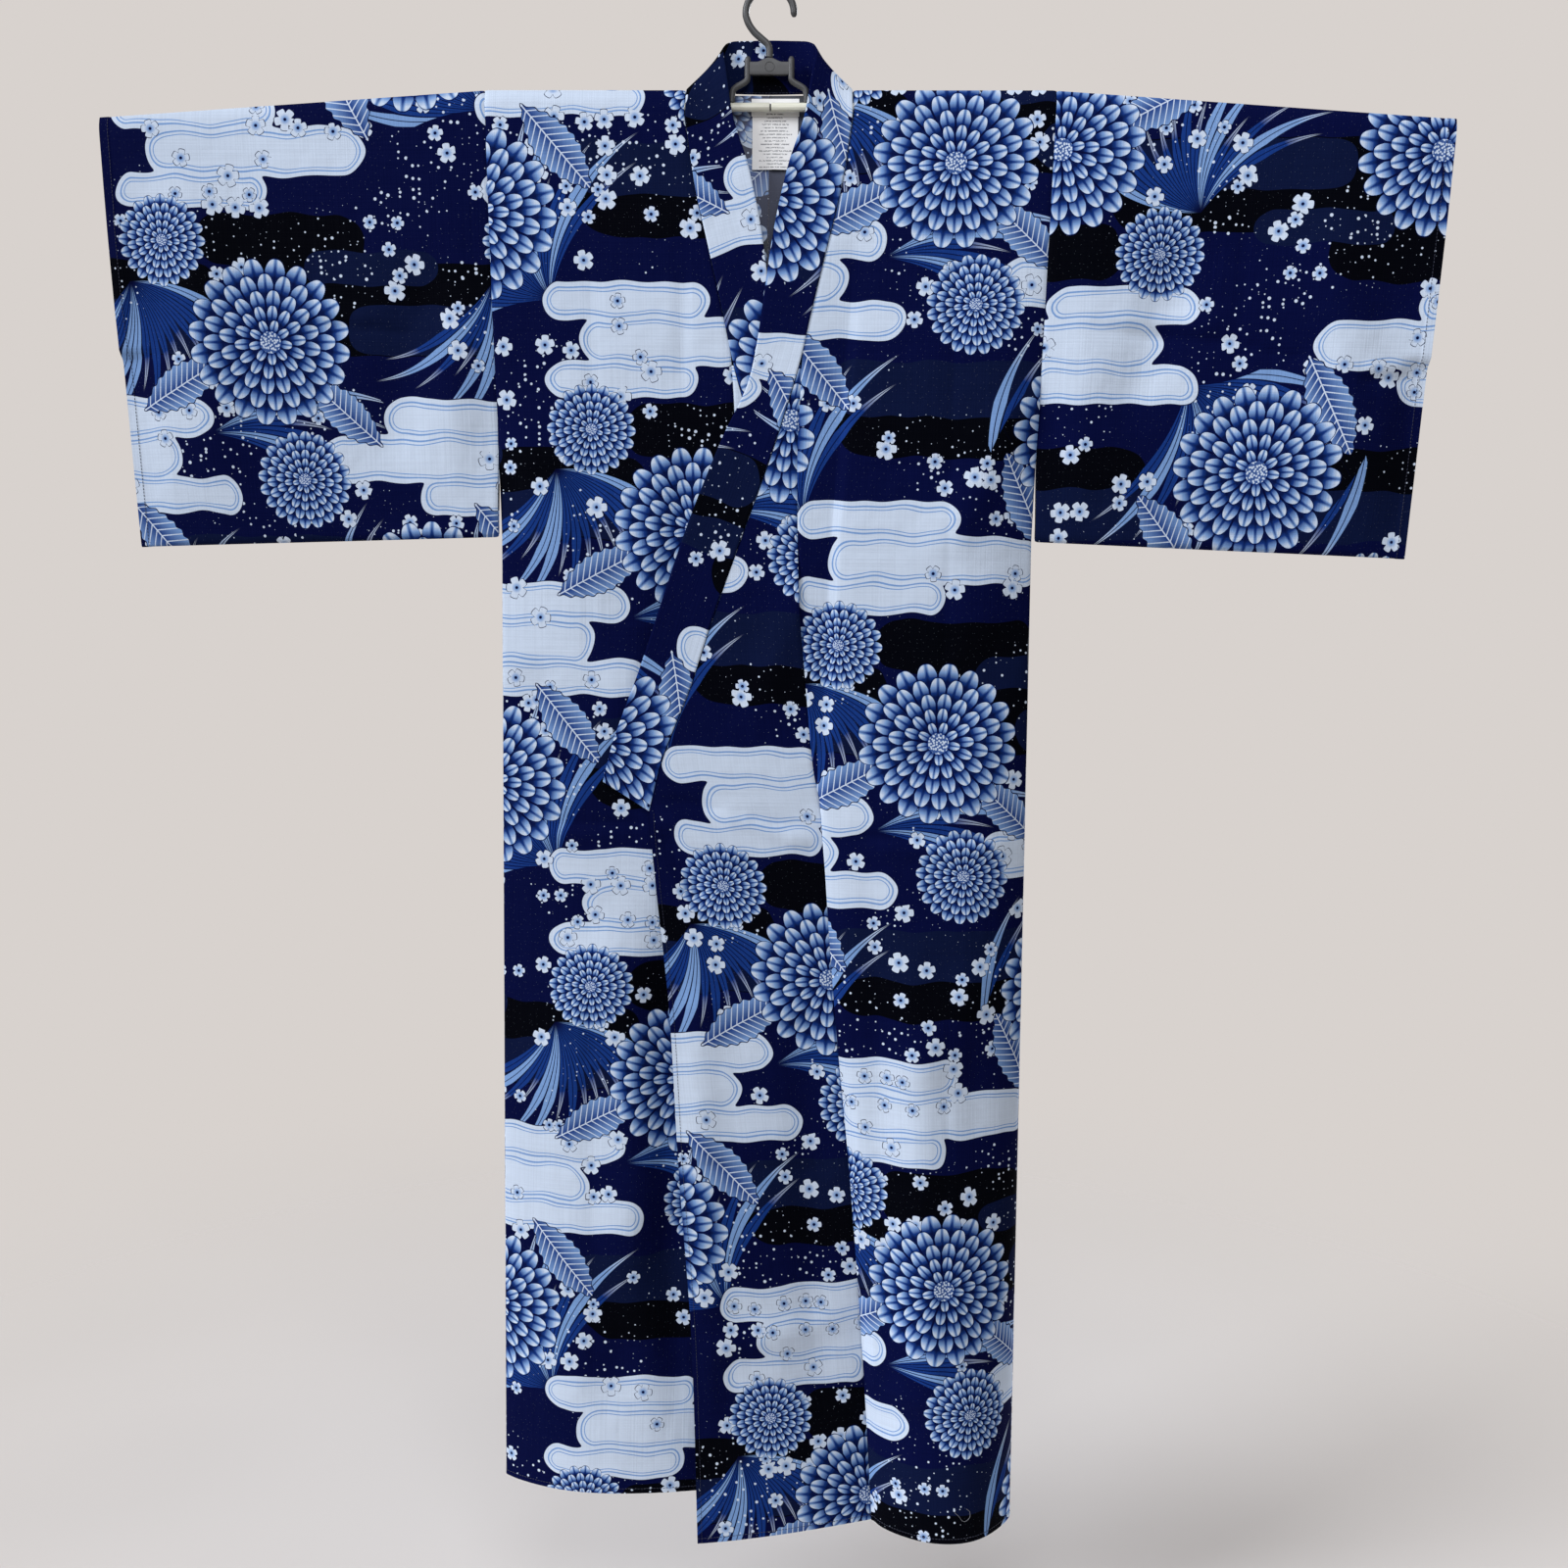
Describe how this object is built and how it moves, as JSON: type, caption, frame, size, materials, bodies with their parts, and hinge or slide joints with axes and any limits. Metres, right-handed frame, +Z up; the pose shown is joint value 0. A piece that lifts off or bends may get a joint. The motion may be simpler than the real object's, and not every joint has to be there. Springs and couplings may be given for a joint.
{
  "type": "cotton yukata robe on a hanger",
  "caption": "Full-length unlined cotton yukata robe with square sleeves and a folded collar band, hung flat, left front over right, on a telescopic bar hanger.",
  "frame": {"origin": "the point under the top of the hanger's hook, where a rail or peg carries it", "axes": "+Z up, along the robe's length; +X towards the wearer's left sleeve; -Y towards the front"},
  "size_m": [1.358, 0.0749, 1.6198],
  "materials": {
    "printed_cotton": "matt plain-weave slub cotton, printed in blues on off-white",
    "label_satin": "white woven satin label",
    "hanger_grey": "dark grey moulded plastic",
    "hanger_cream": "cream enamelled steel tube"
  },
  "bodies": {
    "root": {"body_right_front": "printed_cotton", "body_right_back": "printed_cotton", "body_left_front": "printed_cotton", "body_left_back": "printed_cotton", "overlap_right": "printed_cotton", "overlap_left": "printed_cotton", "collar": "printed_cotton", "sleeve_right": "printed_cotton", "sleeve_left": "printed_cotton", "size_label": "label_satin", "care_label": "label_satin", "hanger_hook": "hanger_grey", "hanger_yoke": "hanger_grey", "hanger_bar": "hanger_cream", "hanger_rod_right": "hanger_cream", "hanger_rod_left": "hanger_cream"}
  },
  "joints": []
}
